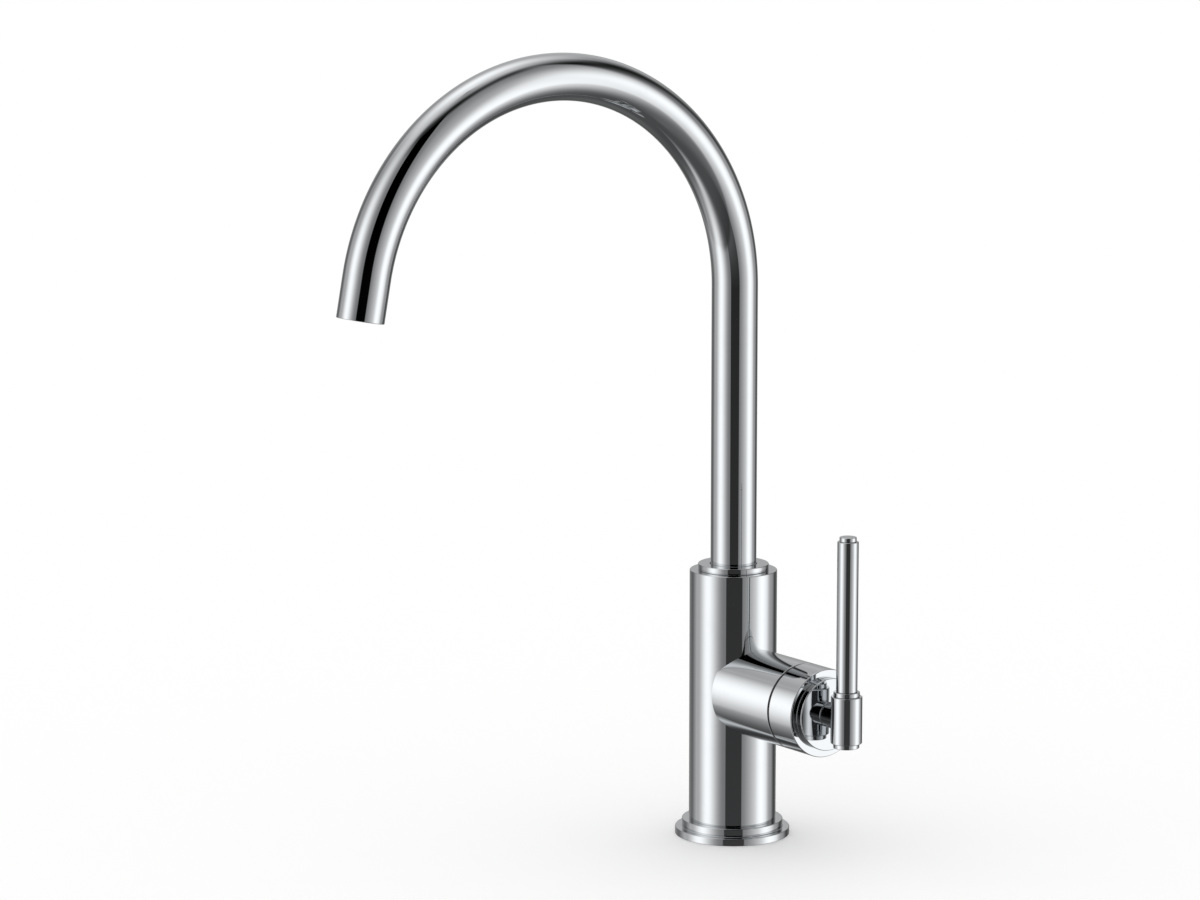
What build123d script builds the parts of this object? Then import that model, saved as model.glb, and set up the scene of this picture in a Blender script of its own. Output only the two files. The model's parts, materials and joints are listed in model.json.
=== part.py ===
"""Single-lever three-way kitchen tap with a swivelling gooseneck spout.

Frame: the origin lies on the deck under the riser, +Z is up, the spout points along -Y
and the lever stands on the +X side. Lengths are in millimetres, angles in degrees.
"""

from build123d import *
import os
from math import cos, radians, sin

# ---------------------------------------------------------------- driving dimensions

# Clearances
seat_fit = 0.02  # radial, between pieces that are screwed, pressed or brazed together
run_fit = 0.05  # radial, between pieces that turn in each other
end_play = 0.05  # axial, between faces that turn on each other
bevel = 0.35  # broken edge of the plated pieces
small_bevel = 0.25  # broken edge of the lever's small rings
ring_slack = 0.04  # between an O-ring and the floor of its groove

# Stepped base flange and its gasket
base_lower_radius = 27.7
base_lower_height = 3.5
base_upper_radius = 24.4
base_upper_height = 4.0
gasket_radius = 22.0  # centre line of the gasket
gasket_width = 3.0
gasket_height = 1.6

# Column: a plated tube round a brass core
body_radius = 21.0
body_bore = 16.5
body_height = 130.0  # top of the column above the deck

# Threaded inlet block in the foot of the column
inlet_height = 34.0
inlet_port_count = 3  # hot, cold and filtered supply
inlet_port_circle = 9.6
inlet_port_radius = 4.46  # minor radius of M10 x 1
inlet_port_depth = 12.0
stud_hole_radius = 3.38  # minor radius of M8
stud_hole_depth = 16.0
waterway_radius = 2.2
waterway_overrun = 1.0  # how far a drilled way passes the axis of the one it meets
face_seal_radius = 3.5
face_seal_height = 1.2

# Side housing, turning cap and face disc
handle_axis_z = 72.5
housing_radius = 21.0
housing_start = 11.0  # its flat end, let into the tube and the core
housing_end = 55.0
seam_gap = 0.4
seam_ring_outer = 20.3
seam_ring_inner = 18.5
cap_length = 17.0
cap_floor = 6.4  # solid end of the cap, under the face disc
cap_bore_radius = 16.2
cap_pilot_length = 2.8
cap_boss_radius = 7.5
face_disc_radius = 17.25
face_disc_height = 3.2
face_spigot_radius = 9.0
face_spigot_length = 4.4

# Lever
hub_axis_x = 87.9
hub_radius = 7.4
hub_height = 22.4
hub_ring_radius = 6.15
hub_ring_height = 2.2
stem_radius = 6.0
stem_entry = 3.0  # how far the stem passes the hub's axis
stem_thread_radius = 3.0
stem_thread_length = 6.2
rod_radius = 5.0
rod_length = 71.3
rod_thread_radius = 2.5
rod_thread_length = 6.6
set_screw_length = 3.4
set_screw_key = 1.2
plug_peg_length = 1.4
tip_radius = 4.0
tip_height = 2.1
tip_peg_radius = 2.0
tip_peg_length = 5.0

# Ceramic disc cartridge in the side housing
cartridge_floor_x = 24.0
cartridge_radius = 17.5
cartridge_base_height = 5.0
disc_radius = 12.8
fixed_disc_height = 3.5
moving_disc_radius = 12.5
moving_disc_height = 3.5
pocket_depth = 1.8
pocket_width = 4.6
pocket_length = 9.0
pocket_inset = 1.0  # from the circle of the outlet ports
carrier_radius = 12.2
carrier_height = 3.6
carrier_lug = 2.4
chamber_radius = 13.0
chamber_clearance = 0.4
neck_length = 6.0
lug_circle = 9.5
lug_depth = 1.2
outlet_port_circle = 8.8
floor_seal_radius = 3.3
mixed_pocket_angle = -40.0
filter_pocket_angle = 132.0
mixed_port_angle = 40.0  # from +Y towards +Z
nut_height = 6.0
nut_thread_radius = 18.2
nut_bore_radius = 12.0
nut_slot_width = 3.0
nut_slot_depth = 1.5

# Spindle and the screw that holds the cap on it
spindle_radius = 5.0
spindle_round_end = 10.4  # length of the round part beyond the carrier
spindle_square = 6.4
spindle_square_length = 9.4
spindle_foot_depth = 2.4
screw_radius = 2.1
screw_head_radius = 4.2
screw_head_height = 3.6
screw_key = 2.0
screw_engagement = 7.4
screw_web = 4.0  # of the cap, between the spindle and the screw's head
spindle_groove_offset = 3.0

# Top collar and the spout's swivel
collar_radius = 17.0
collar_height = 3.0
collar_skirt_depth = 6.0
collar_gap = 0.25  # radial, round the spout tube
slide_ring_height = 1.3
shoulder_radius = 14.4
shoulder_height = 4.2
stop_ring_radius = 14.9
stop_ring_height = 4.0
stop_lug_height = 2.2
stop_lug_angle = 20.0
swivel_angle = 75.0  # to each side
stop_slack = 0.3
tail_radius = 10.0
tail_height = 20.0  # below the shoulder
tail_spigot_length = 10.0
socket_chamber = 2.4  # free height under the tail
tail_ring_pitch = 6.5
tail_hole_count = 8
tail_hole_radius = 1.3
tail_hole_circle = 6.2

# O-rings
tail_ring_section = 0.65
small_ring_section = 0.5
spigot_ring_drop = 4.0  # of the filter spigot's ring, below the spigot's end
groove_extra = 0.25  # half the spare width of each groove

# Filtered water's own way through the spout
filter_spigot_radius = 4.0
filter_spigot_above = 15.0  # above the floor of the socket
filter_spigot_below = 6.0
filter_bore_radius = 2.0
filter_tube_radius = 3.0
filter_tube_seat = 20.0  # length of the tube held in the tail

# Spout tube
tube_radius = 11.0
tube_wall = 1.0
arch_radius = 104.5  # of the centre line
arch_angle = 169.2
springline_z = 267.3
tube_end_length = 19.5

# Outlet
aerator_recess = 0.8
aerator_length = 12.0
aerator_wall = 1.25
aerator_lip = 0.9
aerator_lip_height = 1.0
insert_recess = 0.6
aerator_seal_height = 1.5
seal_inset = 0.1
outlet_seat_height = 2.5
outlet_seat_wall = 2.4
nozzle_radius = 4.2
nozzle_recess = 0.3
nozzle_length = 18.0
nozzle_socket = 6.5
nozzle_flange_radius = 5.4
nozzle_flange_height = 1.4
spray_hole_radius = 0.75
spray_hole_circles = (5.55, 7.5)
spray_hole_counts = (12, 18)

# ---------------------------------------------------------------- worked-out places

base_top = base_lower_height + base_upper_height
core_radius = body_bore - seat_fit  # also of the inlet block and of the collar's skirt

handle_plane = Plane(origin=(0, 0, handle_axis_z), x_dir=(0, 1, 0), z_dir=(1, 0, 0))

handle_axis = Axis((0, 0, handle_axis_z), (1, 0, 0))

cap_start = housing_end + seam_gap
cap_end = cap_start + cap_length
disc_face_x = cap_end + face_disc_height
cap_bore_end = cap_end - cap_floor
cap_pilot_radius = nut_thread_radius - run_fit

fixed_disc_x = cartridge_floor_x + cartridge_base_height
moving_disc_x = fixed_disc_x + fixed_disc_height + end_play
carrier_x = moving_disc_x + moving_disc_height
carrier_end = carrier_x + carrier_height
chamber_end = carrier_end + chamber_clearance
cartridge_end = chamber_end + neck_length
spindle_round_x = carrier_end + spindle_round_end
spindle_end = spindle_round_x + spindle_square_length
spindle_ring_x = carrier_end + spindle_groove_offset
boss_start = spindle_round_x + chamber_clearance
screw_seat_x = spindle_end + screw_web

hub_low = handle_axis_z - hub_height / 2
hub_high = handle_axis_z + hub_height / 2
set_screw_z = handle_axis_z - stem_radius - seat_fit - set_screw_length
rod_foot = hub_high + hub_ring_height
rod_top = rod_foot + rod_length
hub_plane = Plane(origin=(hub_axis_x, 0, 0), x_dir=(1, 0, 0), z_dir=(0, 0, 1))

collar_skirt_z = body_height - collar_skirt_depth
slide_ring_z = collar_skirt_z - slide_ring_height
shoulder_top = slide_ring_z - end_play
shoulder_low = shoulder_top - shoulder_height
stop_ring_top = shoulder_low - end_play
stop_ring_low = stop_ring_top - stop_ring_height
tail_low = shoulder_low - tail_height
socket_floor = tail_low - socket_chamber
socket_radius = tail_radius + 2 * run_fit
filter_spigot_top = socket_floor + filter_spigot_above
tail_top = shoulder_top + tail_spigot_length
filter_tube_foot = tail_top - filter_tube_seat
spigot_ring_z = filter_spigot_top - spigot_ring_drop
ring_inset = small_ring_section - ring_slack / 2
small_groove_half = small_ring_section + groove_extra
tail_groove_half = tail_ring_section + groove_extra
slot_angle = 2 * swivel_angle + stop_lug_angle + 2 * stop_slack

tube_bore = tube_radius - tube_wall
end_direction = Vector(0, -sin(radians(arch_angle)), cos(radians(arch_angle)))
arch_end = Vector(
    0,
    -arch_radius * (1 - cos(radians(arch_angle))),
    springline_z + arch_radius * sin(radians(arch_angle)),
)
outlet = arch_end + end_direction * tube_end_length
outlet_plane = Plane(origin=outlet, x_dir=(1, 0, 0), z_dir=end_direction)
aerator_bore = tube_bore - aerator_wall
aerator_top = aerator_recess + aerator_length
outlet_seat_top = aerator_top + aerator_seal_height + outlet_seat_height
insert_top = aerator_top - aerator_lip_height
insert_length = insert_top - aerator_recess - insert_recess
nozzle_top = aerator_recess + nozzle_recess + nozzle_length

# The three inlets stand evenly round the stud hole. Each rises to the level of its port in
# the cartridge floor: the filtered one at the bottom of the circle, hot and cold at its sides.
inlet_angles = [index * 360 / inlet_port_count for index in range(inlet_port_count)]
inlet_places = [
    (inlet_port_circle * cos(radians(angle)), inlet_port_circle * sin(radians(angle)))
    for angle in inlet_angles
]
inlet_levels = [
    -((outlet_port_circle**2 - min(abs(y), outlet_port_circle) ** 2) ** 0.5)
    for x, y in inlet_places
]
inlet_ports = [(place[1], level) for place, level in zip(inlet_places, inlet_levels)]
mixed_port = (
    outlet_port_circle * cos(radians(mixed_port_angle)),
    outlet_port_circle * sin(radians(mixed_port_angle)),
)
filter_port = (0, outlet_port_circle)
floor_ports = [*inlet_ports, mixed_port, filter_port]


def radial_plane(angle):
    """The upright plane through the riser's axis, at an angle from +X towards +Y."""
    outward = (cos(radians(angle)), sin(radians(angle)), 0)
    normal = (sin(radians(angle)), -cos(radians(angle)), 0)
    return Plane(origin=(0, 0, 0), x_dir=outward, z_dir=normal)


def spout_line(foot, end_length):
    """The spout's centre line, from a height on the riser to a length past the arch."""
    with BuildLine(Plane.YZ) as line:
        riser = Line((0, foot), (0, springline_z))
        arch = JernArc(riser @ 1, riser % 1, arch_radius, arch_angle)
        Line(arch @ 1, arch @ 1 + arch % 1 * end_length)
    return line.wire()


# ---------------------------------------------------------------- base and column

with BuildPart() as base_flange:
    with BuildSketch(Plane.XY):
        Circle(base_lower_radius)
    extrude(amount=base_lower_height)
    with BuildSketch(Plane.XY.offset(base_lower_height)):
        Circle(base_upper_radius)
    extrude(amount=base_upper_height)
    chamfer(base_flange.edges().group_by(Axis.Z)[-1], bevel)
    chamfer(base_flange.edges().group_by(Axis.Z)[-3].sort_by(SortBy.LENGTH)[-1], bevel)
    with BuildSketch(Plane.XY):
        Circle(body_bore)
    extrude(amount=base_top, mode=Mode.SUBTRACT)
    with BuildSketch(Plane.XY):
        Circle(gasket_radius + gasket_width / 2 + seat_fit)
        Circle(gasket_radius - gasket_width / 2 - seat_fit, mode=Mode.SUBTRACT)
    extrude(amount=gasket_height, mode=Mode.SUBTRACT)
base_flange.part.label = "base_flange"

with BuildPart() as base_gasket:
    with BuildSketch(Plane.XY):
        Circle(gasket_radius + gasket_width / 2)
        Circle(gasket_radius - gasket_width / 2, mode=Mode.SUBTRACT)
    extrude(amount=gasket_height)
base_gasket.part.label = "base_gasket"

with BuildPart() as inlet_block:
    with BuildSketch(Plane.XY):
        Circle(core_radius)
    extrude(amount=inlet_height)
    with BuildSketch(Plane.XY):
        Circle(stud_hole_radius)
    extrude(amount=stud_hole_depth, mode=Mode.SUBTRACT)
    with BuildSketch(Plane.XY):
        with Locations(*inlet_places):
            Circle(inlet_port_radius)
    extrude(amount=inlet_port_depth, mode=Mode.SUBTRACT)
    with BuildSketch(Plane.XY):
        with Locations(*inlet_places):
            Circle(waterway_radius)
    extrude(amount=inlet_height, mode=Mode.SUBTRACT)
    with BuildSketch(Plane.XY.offset(inlet_height)):
        with Locations(*inlet_places):
            Circle(face_seal_radius + seat_fit)
    extrude(amount=-face_seal_height, mode=Mode.SUBTRACT)
inlet_block.part.label = "inlet_block"

with BuildPart() as inlet_seals:
    with BuildSketch(Plane.XY.offset(inlet_height)):
        with Locations(*inlet_places):
            Circle(face_seal_radius)
            Circle(waterway_radius, mode=Mode.SUBTRACT)
    extrude(amount=-face_seal_height)
inlet_seals.part.label = "inlet_seals"

with BuildPart() as body_tube:
    with BuildSketch(Plane.XY.offset(base_top)):
        Circle(body_radius)
    extrude(amount=body_height - base_top)
    chamfer(body_tube.edges().group_by(Axis.Z)[-1], bevel)
    with BuildSketch(Plane.XY.offset(base_top)):
        Circle(body_bore)
    extrude(amount=body_height - base_top, mode=Mode.SUBTRACT)
    # Seat of the side housing
    with BuildSketch(handle_plane.offset(housing_start)):
        Circle(housing_radius + seat_fit)
    extrude(amount=body_radius - housing_start, mode=Mode.SUBTRACT)
body_tube.part.label = "body_tube"

with BuildPart() as body_core:
    with BuildSketch(Plane.XY.offset(inlet_height)):
        Circle(core_radius)
    extrude(amount=collar_skirt_z - inlet_height)
    # Seat of the side housing
    with BuildSketch(handle_plane.offset(housing_start)):
        Circle(housing_radius + seat_fit)
    extrude(amount=body_radius - housing_start, mode=Mode.SUBTRACT)
    # Supply ways: up from each inlet, then across to the side housing
    for (x, y), level in zip(inlet_places, inlet_levels):
        with BuildSketch(Plane.XY.offset(inlet_height)):
            with Locations((x, y)):
                Circle(waterway_radius)
        extrude(amount=handle_axis_z + level + waterway_overrun - inlet_height, mode=Mode.SUBTRACT)
        with BuildSketch(handle_plane.offset(x - waterway_overrun)):
            with Locations((y, level)):
                Circle(waterway_radius)
        extrude(amount=housing_start - x + waterway_overrun, mode=Mode.SUBTRACT)
    # Mixed and filtered ways: back from the side housing, then up to the spout's socket
    for y, level in (mixed_port, filter_port):
        with BuildSketch(handle_plane.offset(-waterway_overrun)):
            with Locations((y, level)):
                Circle(waterway_radius)
        extrude(amount=housing_start + waterway_overrun, mode=Mode.SUBTRACT)
        with BuildSketch(Plane.XY.offset(handle_axis_z + level - waterway_overrun)):
            with Locations((0, y)):
                Circle(waterway_radius)
        extrude(amount=socket_floor - handle_axis_z - level + waterway_overrun, mode=Mode.SUBTRACT)
    with BuildSketch(Plane.XY.offset(socket_floor)):
        Circle(filter_spigot_radius + seat_fit)
    extrude(amount=-filter_spigot_below, mode=Mode.SUBTRACT)
    # Socket for the spout's tail, and seat of the stop ring
    with BuildSketch(Plane.XY.offset(socket_floor)):
        Circle(socket_radius)
    extrude(amount=collar_skirt_z - socket_floor, mode=Mode.SUBTRACT)
    with BuildSketch(Plane.XY.offset(stop_ring_low)):
        Circle(stop_ring_radius)
    extrude(amount=collar_skirt_z - stop_ring_low, mode=Mode.SUBTRACT)
body_core.part.label = "body_core"

with BuildPart() as side_housing:
    with BuildSketch(handle_plane.offset(housing_start)):
        Circle(housing_radius)
    extrude(amount=housing_end - housing_start)
    chamfer(side_housing.edges().group_by(Axis.X)[-1], bevel)
    # Ways to and from the ports of the cartridge
    with BuildSketch(handle_plane.offset(housing_start)):
        with Locations(*floor_ports):
            Circle(waterway_radius)
    extrude(amount=cartridge_floor_x - housing_start, mode=Mode.SUBTRACT)
    # Chamber for the cartridge, and the thread of its nut
    with BuildSketch(handle_plane.offset(cartridge_floor_x)):
        Circle(cartridge_radius + seat_fit)
    extrude(amount=housing_end - cartridge_floor_x, mode=Mode.SUBTRACT)
    with BuildSketch(handle_plane.offset(cartridge_end)):
        Circle(nut_thread_radius)
    extrude(amount=housing_end - cartridge_end, mode=Mode.SUBTRACT)
side_housing.part.label = "side_housing"

# ---------------------------------------------------------------- swivel of the spout

with BuildPart() as top_collar:
    with BuildSketch(Plane.XY.offset(body_height)):
        Circle(collar_radius)
    extrude(amount=collar_height)
    chamfer(top_collar.edges().group_by(Axis.Z)[-1], bevel)
    with BuildSketch(Plane.XY.offset(body_height)):
        Circle(core_radius)
    extrude(amount=-collar_skirt_depth)
    with BuildSketch(Plane.XY.offset(collar_skirt_z)):
        Circle(tube_radius + collar_gap)
    extrude(amount=collar_skirt_depth + collar_height, mode=Mode.SUBTRACT)
top_collar.part.label = "top_collar"

with BuildPart() as spout_slide_ring:
    with BuildSketch(Plane.XY.offset(slide_ring_z)):
        Circle(shoulder_radius)
        Circle(tube_radius + collar_gap, mode=Mode.SUBTRACT)
    extrude(amount=slide_ring_height)
spout_slide_ring.part.label = "spout_slide_ring"

with BuildPart() as swivel_stop_ring:
    with BuildSketch(Plane.XY.offset(stop_ring_low)):
        Circle(stop_ring_radius - seat_fit)
        Circle(tail_radius + 2 * run_fit, mode=Mode.SUBTRACT)
    extrude(amount=stop_ring_height)
    # The lug stands at the back and runs in the slot of the tail's shoulder
    with BuildSketch(radial_plane(90 - stop_lug_angle / 2)):
        with BuildLine():
            Polyline(
                (tail_radius + 2 * run_fit, stop_ring_top - stop_lug_height),
                (shoulder_radius, stop_ring_top - stop_lug_height),
                (shoulder_radius, stop_ring_top + stop_lug_height),
                (tail_radius + 2 * run_fit, stop_ring_top + stop_lug_height),
                close=True,
            )
        make_face()
    revolve(axis=Axis.Z, revolution_arc=stop_lug_angle)
swivel_stop_ring.part.label = "swivel_stop_ring"

with BuildPart() as spout_tail:
    with BuildSketch(Plane.XY.offset(tail_low)):
        Circle(tail_radius)
    extrude(amount=tail_height)
    with BuildSketch(Plane.XY.offset(shoulder_low)):
        Circle(shoulder_radius)
    extrude(amount=shoulder_height)
    with BuildSketch(Plane.XY.offset(shoulder_top)):
        Circle(tube_bore - seat_fit)
    extrude(amount=tail_spigot_length)
    # Grooves of the two O-rings
    for ring in (1, 2):
        with BuildSketch(Plane.XY.offset(tail_low + ring * tail_ring_pitch - tail_groove_half)):
            Circle(tail_radius)
            Circle(tail_radius - 2 * tail_ring_section, mode=Mode.SUBTRACT)
        extrude(amount=2 * tail_groove_half, mode=Mode.SUBTRACT)
    # Middle bore: over the fixed filter spigot below, round the filter tube above
    with BuildSketch(Plane.XY.offset(tail_low)):
        Circle(filter_bore_radius)
    extrude(amount=tail_top - tail_low, mode=Mode.SUBTRACT)
    with BuildSketch(Plane.XY.offset(tail_low)):
        Circle(filter_spigot_radius + run_fit)
    extrude(amount=filter_spigot_top + end_play - tail_low, mode=Mode.SUBTRACT)
    with BuildSketch(Plane.XY.offset(filter_tube_foot)):
        Circle(filter_tube_radius + seat_fit)
    extrude(amount=filter_tube_seat, mode=Mode.SUBTRACT)
    # Ways for the mixed water
    with BuildSketch(Plane.XY.offset(tail_low)):
        with PolarLocations(tail_hole_circle, tail_hole_count):
            Circle(tail_hole_radius)
    extrude(amount=tail_top - tail_low, mode=Mode.SUBTRACT)
    # Slot that lets the shoulder swing past the stop lug
    with BuildSketch(radial_plane(90 - slot_angle / 2)):
        with BuildLine():
            Polyline(
                (tail_radius, shoulder_low),
                (shoulder_radius, shoulder_low),
                (shoulder_radius, shoulder_low + stop_lug_height + end_play),
                (tail_radius, shoulder_low + stop_lug_height + end_play),
                close=True,
            )
        make_face()
    revolve(axis=Axis.Z, revolution_arc=slot_angle, mode=Mode.SUBTRACT)
spout_tail.part.label = "spout_tail"

with BuildPart() as tail_o_rings:
    with BuildSketch(Plane.XZ):
        with Locations(
            *[
                (tail_radius - tail_ring_section + ring_slack, tail_low + ring * tail_ring_pitch)
                for ring in (1, 2)
            ]
        ):
            Circle(tail_ring_section)
    revolve(axis=Axis.Z)
tail_o_rings.part.label = "tail_o_rings"

with BuildPart() as filter_spigot:
    with BuildSketch(Plane.XY.offset(socket_floor - filter_spigot_below)):
        Circle(filter_spigot_radius)
        Circle(filter_bore_radius, mode=Mode.SUBTRACT)
    extrude(amount=filter_spigot_above + filter_spigot_below)
    with BuildSketch(Plane.XY.offset(spigot_ring_z - small_groove_half)):
        Circle(filter_spigot_radius)
        Circle(filter_spigot_radius - 2 * small_ring_section, mode=Mode.SUBTRACT)
    extrude(amount=2 * small_groove_half, mode=Mode.SUBTRACT)
filter_spigot.part.label = "filter_spigot"

with BuildPart() as filter_o_ring:
    with BuildSketch(Plane.XZ):
        with Locations((filter_spigot_radius - ring_inset, spigot_ring_z)):
            Circle(small_ring_section)
    revolve(axis=Axis.Z)
filter_o_ring.part.label = "filter_o_ring"

# ---------------------------------------------------------------- spout

with BuildPart() as spout_tube:
    with BuildSketch(Plane.XY.offset(shoulder_top)):
        Circle(tube_radius)
        Circle(tube_bore, mode=Mode.SUBTRACT)
    sweep(path=spout_line(shoulder_top, tube_end_length))
spout_tube.part.label = "spout_tube"

with BuildPart() as filter_tube:
    with BuildSketch(Plane.XY.offset(filter_tube_foot)):
        Circle(filter_tube_radius)
        Circle(filter_bore_radius, mode=Mode.SUBTRACT)
    sweep(path=spout_line(filter_tube_foot, tube_end_length - nozzle_top + nozzle_socket))
filter_tube.part.label = "filter_tube"

# ---------------------------------------------------------------- outlet

with BuildPart() as outlet_seat_ring:
    with BuildSketch(outlet_plane.offset(-outlet_seat_top)):
        Circle(tube_bore - seat_fit)
        Circle(tube_bore - outlet_seat_wall, mode=Mode.SUBTRACT)
    extrude(amount=outlet_seat_height)
outlet_seat_ring.part.label = "outlet_seat_ring"

with BuildPart() as aerator_seal:
    with BuildSketch(outlet_plane.offset(-aerator_top - aerator_seal_height)):
        Circle(tube_bore - seal_inset)
        Circle(tube_bore - outlet_seat_wall, mode=Mode.SUBTRACT)
    extrude(amount=aerator_seal_height)
aerator_seal.part.label = "aerator_seal"

with BuildPart() as aerator_housing:
    with BuildSketch(outlet_plane.offset(-aerator_top)):
        Circle(tube_bore - seat_fit)
        Circle(aerator_bore, mode=Mode.SUBTRACT)
    extrude(amount=aerator_length)
    with BuildSketch(outlet_plane.offset(-aerator_top)):
        Circle(aerator_bore)
        Circle(aerator_bore - aerator_lip, mode=Mode.SUBTRACT)
    extrude(amount=aerator_lip_height)
aerator_housing.part.label = "aerator_housing"

with BuildPart() as aerator_insert:
    with BuildSketch(outlet_plane.offset(-insert_top)):
        Circle(aerator_bore - seat_fit)
        Circle(nozzle_radius + seat_fit, mode=Mode.SUBTRACT)
    extrude(amount=insert_length)
    with BuildSketch(outlet_plane.offset(-insert_top)):
        for circle, count in zip(spray_hole_circles, spray_hole_counts):
            with PolarLocations(circle, count):
                Circle(spray_hole_radius)
    extrude(amount=insert_length, mode=Mode.SUBTRACT)
aerator_insert.part.label = "aerator_insert"

with BuildPart() as filter_nozzle:
    with BuildSketch(outlet_plane.offset(-nozzle_top)):
        Circle(nozzle_radius)
    extrude(amount=nozzle_length)
    with BuildSketch(outlet_plane.offset(-insert_top)):
        Circle(nozzle_flange_radius)
    extrude(amount=-nozzle_flange_height)
    with BuildSketch(outlet_plane.offset(-nozzle_top)):
        Circle(filter_bore_radius)
    extrude(amount=nozzle_length, mode=Mode.SUBTRACT)
    with BuildSketch(outlet_plane.offset(-nozzle_top)):
        Circle(filter_tube_radius + seat_fit)
    extrude(amount=nozzle_socket, mode=Mode.SUBTRACT)
filter_nozzle.part.label = "filter_nozzle"

# ---------------------------------------------------------------- cartridge

with BuildPart() as cartridge_base:
    with BuildSketch(handle_plane.offset(cartridge_floor_x)):
        Circle(cartridge_radius)
    extrude(amount=cartridge_base_height)
    with BuildSketch(handle_plane.offset(cartridge_floor_x)):
        with Locations(*floor_ports):
            Circle(waterway_radius)
    extrude(amount=cartridge_base_height, mode=Mode.SUBTRACT)
    with BuildSketch(handle_plane.offset(cartridge_floor_x)):
        with Locations(*floor_ports):
            Circle(floor_seal_radius + seat_fit)
    extrude(amount=face_seal_height, mode=Mode.SUBTRACT)
cartridge_base.part.label = "cartridge_base"

with BuildPart() as cartridge_seals:
    with BuildSketch(handle_plane.offset(cartridge_floor_x)):
        with Locations(*floor_ports):
            Circle(floor_seal_radius)
            Circle(waterway_radius, mode=Mode.SUBTRACT)
    extrude(amount=face_seal_height)
cartridge_seals.part.label = "cartridge_seals"

with BuildPart() as fixed_disc:
    with BuildSketch(handle_plane.offset(fixed_disc_x)):
        Circle(disc_radius)
        with Locations(*floor_ports):
            Circle(waterway_radius, mode=Mode.SUBTRACT)
    extrude(amount=fixed_disc_height)
fixed_disc.part.label = "fixed_disc"

with BuildPart() as cartridge_shell:
    with BuildSketch(handle_plane.offset(fixed_disc_x)):
        Circle(cartridge_radius)
        Circle(chamber_radius, mode=Mode.SUBTRACT)
    extrude(amount=chamber_end - fixed_disc_x)
    with BuildSketch(handle_plane.offset(chamber_end)):
        Circle(cartridge_radius)
        Circle(spindle_radius + run_fit, mode=Mode.SUBTRACT)
    extrude(amount=neck_length)
cartridge_shell.part.label = "cartridge_shell"

with BuildPart() as cartridge_nut:
    with BuildSketch(handle_plane.offset(cartridge_end)):
        Circle(nut_thread_radius - seat_fit)
        Circle(nut_bore_radius, mode=Mode.SUBTRACT)
    extrude(amount=nut_height)
    with BuildSketch(handle_plane.offset(cartridge_end + nut_height)):
        Rectangle(2 * nut_thread_radius, nut_slot_width)
        Rectangle(nut_slot_width, 2 * nut_thread_radius)
    extrude(amount=-nut_slot_depth, mode=Mode.SUBTRACT)
cartridge_nut.part.label = "cartridge_nut"

with BuildPart() as cap_slide_ring:
    with BuildSketch(handle_plane.offset(housing_end)):
        Circle(seam_ring_outer)
        Circle(seam_ring_inner, mode=Mode.SUBTRACT)
    extrude(amount=seam_gap - end_play)
cap_slide_ring.part.label = "cap_slide_ring"

# ---------------------------------------------------------------- turning inner pieces

with BuildPart() as moving_disc:
    with BuildSketch(handle_plane.offset(moving_disc_x)):
        Circle(moving_disc_radius)
    extrude(amount=moving_disc_height)
    # Pockets that join the ports of the fixed disc when the lever is turned
    with BuildSketch(handle_plane.offset(moving_disc_x)):
        for angle in (mixed_pocket_angle, filter_pocket_angle):
            with PolarLocations(outlet_port_circle - pocket_inset, 1, start_angle=angle):
                SlotOverall(pocket_length, pocket_width, rotation=90)
    extrude(amount=pocket_depth, mode=Mode.SUBTRACT)
    with BuildSketch(handle_plane.offset(carrier_x)):
        with Locations((0, lug_circle), (0, -lug_circle)):
            Rectangle(carrier_lug + 2 * seat_fit, carrier_lug + 2 * seat_fit)
    extrude(amount=-lug_depth, mode=Mode.SUBTRACT)
moving_disc.part.label = "moving_disc"

with BuildPart() as disc_carrier:
    with BuildSketch(handle_plane.offset(carrier_x)):
        Circle(carrier_radius)
    extrude(amount=carrier_height)
    with BuildSketch(handle_plane.offset(carrier_x)):
        with Locations((0, lug_circle), (0, -lug_circle)):
            Rectangle(carrier_lug, carrier_lug)
    extrude(amount=seat_fit - lug_depth)
    with BuildSketch(handle_plane.offset(carrier_end)):
        Rectangle(spindle_square + 2 * seat_fit, spindle_square + 2 * seat_fit)
    extrude(amount=-spindle_foot_depth, mode=Mode.SUBTRACT)
disc_carrier.part.label = "disc_carrier"

with BuildPart() as spindle:
    with BuildSketch(handle_plane.offset(carrier_end - spindle_foot_depth)):
        Rectangle(spindle_square, spindle_square)
    extrude(amount=spindle_end - carrier_end + spindle_foot_depth)
    with BuildSketch(handle_plane.offset(carrier_end)):
        Circle(spindle_radius)
    extrude(amount=spindle_round_end)
    with BuildSketch(handle_plane.offset(spindle_ring_x - small_groove_half)):
        Circle(spindle_radius)
        Circle(spindle_radius - 2 * small_ring_section, mode=Mode.SUBTRACT)
    extrude(amount=2 * small_groove_half, mode=Mode.SUBTRACT)
    with BuildSketch(handle_plane.offset(spindle_end)):
        Circle(screw_radius + seat_fit)
    extrude(amount=-screw_engagement - chamber_clearance, mode=Mode.SUBTRACT)
spindle.part.label = "spindle"

with BuildPart() as spindle_o_ring:
    with BuildSketch(Plane.XZ):
        with Locations((spindle_ring_x, handle_axis_z + spindle_radius - ring_inset)):
            Circle(small_ring_section)
    revolve(axis=handle_axis)
spindle_o_ring.part.label = "spindle_o_ring"

# ---------------------------------------------------------------- cap and lever

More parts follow.
